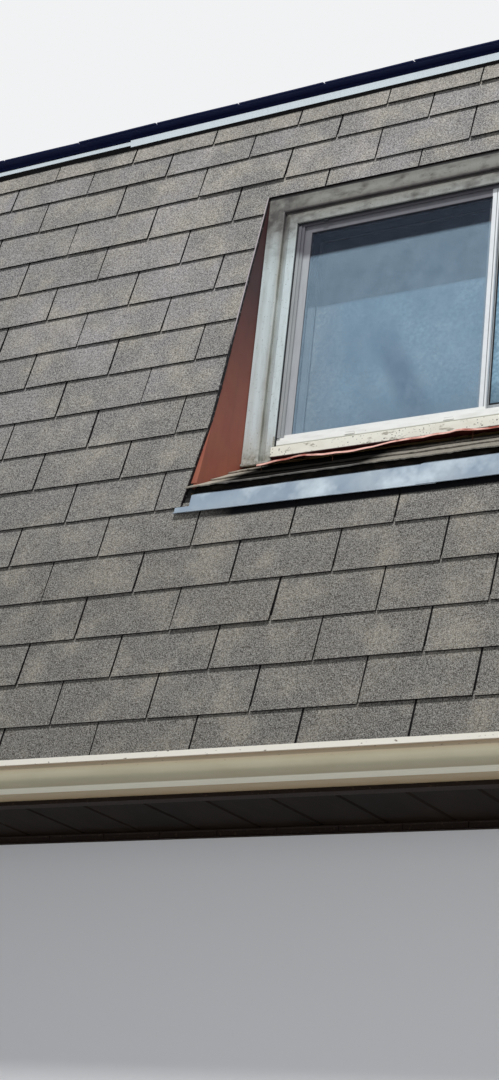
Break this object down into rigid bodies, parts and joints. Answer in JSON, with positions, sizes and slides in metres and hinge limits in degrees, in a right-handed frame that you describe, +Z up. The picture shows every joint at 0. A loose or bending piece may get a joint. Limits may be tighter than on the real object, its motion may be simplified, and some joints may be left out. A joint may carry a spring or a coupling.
{
  "type": "recessed dormer window bay in a mansard roof slope",
  "caption": "Recessed slider window between metal cheeks in a steep shingled mansard slope, with sloping ledge, flashings, gutter and soffit below.",
  "frame": {"origin": "middle of the bay, on the underside of the wall plate, half way through the stud wall", "axes": "+X along the wall to the right as seen from outside, +Y into the building, +Z up"},
  "size_m": [4.5, 0.6782, 2.5992],
  "materials": {
    "shingle": "granule-faced asphalt, matt",
    "ledge_shingle": "weathered granule-faced asphalt, matt",
    "board": "sawn sheathing board",
    "framing": "sawn softwood",
    "fascia": "dark brown paint, satin",
    "soffit": "dark brown coated aluminium, satin",
    "gutter": "cream coated aluminium, semi-gloss",
    "hanger": "mill finish",
    "cheek": "red-brown coated sheet, satin",
    "red_flashing": "red-brown coated sheet, creased",
    "drip_flashing": "blue-grey coated sheet, satin",
    "top_strip": "pale grey coated sheet, satin",
    "casing": "weathered off-white paint",
    "sill": "cream paint with mildew specks",
    "frame": "white extrusion, weathered",
    "sash": "grey-white extrusion, weathered",
    "glass": "clear window glass",
    "screen_frame": "white coated aluminium",
    "screen_mesh": "woven insect screen",
    "interior_trim": "white paint, satin",
    "wall": "painted wall board",
    "end_panel": "sawn sheathing board"
  },
  "bodies": {
    "root": {"fascia_board": "fascia", "soffit_panels": "soffit", "wall_plate": "framing", "gutter": "gutter", "gutter_end_caps": "gutter", "gutter_hangers": "hanger", "slope_board_left": "board", "slope_board_right": "board", "slope_board_upper": "board", "slope_board_lower": "board", "shingles_left": "shingle", "shingles_right": "shingle", "shingles_upper": "shingle", "shingles_lower": "shingle", "cheek_left": "cheek", "cheek_right": "cheek", "ledge_board": "board", "ledge_shingles": "ledge_shingle", "sill_flashing": "red_flashing", "drip_flashing_left": "drip_flashing", "drip_flashing_right": "drip_flashing", "casing_left": "casing", "casing_right": "casing", "casing_head": "casing", "window_sill": "sill", "frame_sill": "frame", "frame_head": "frame", "frame_jamb_left": "frame", "frame_jamb_right": "frame", "sash_left": "sash", "sash_right": "sash", "glass_left": "glass", "glass_right": "glass", "screen_frame": "screen_frame", "screen_mesh": "screen_mesh", "jamb_liner": "interior_trim", "inner_casing": "interior_trim", "wall_left": "wall", "wall_right": "wall", "wall_above": "wall", "wall_below": "wall", "roof_deck": "board", "top_strip": "top_strip", "edge_shingles": "shingle", "end_panel_left": "end_panel", "end_panel_right": "end_panel"}
  },
  "joints": []
}
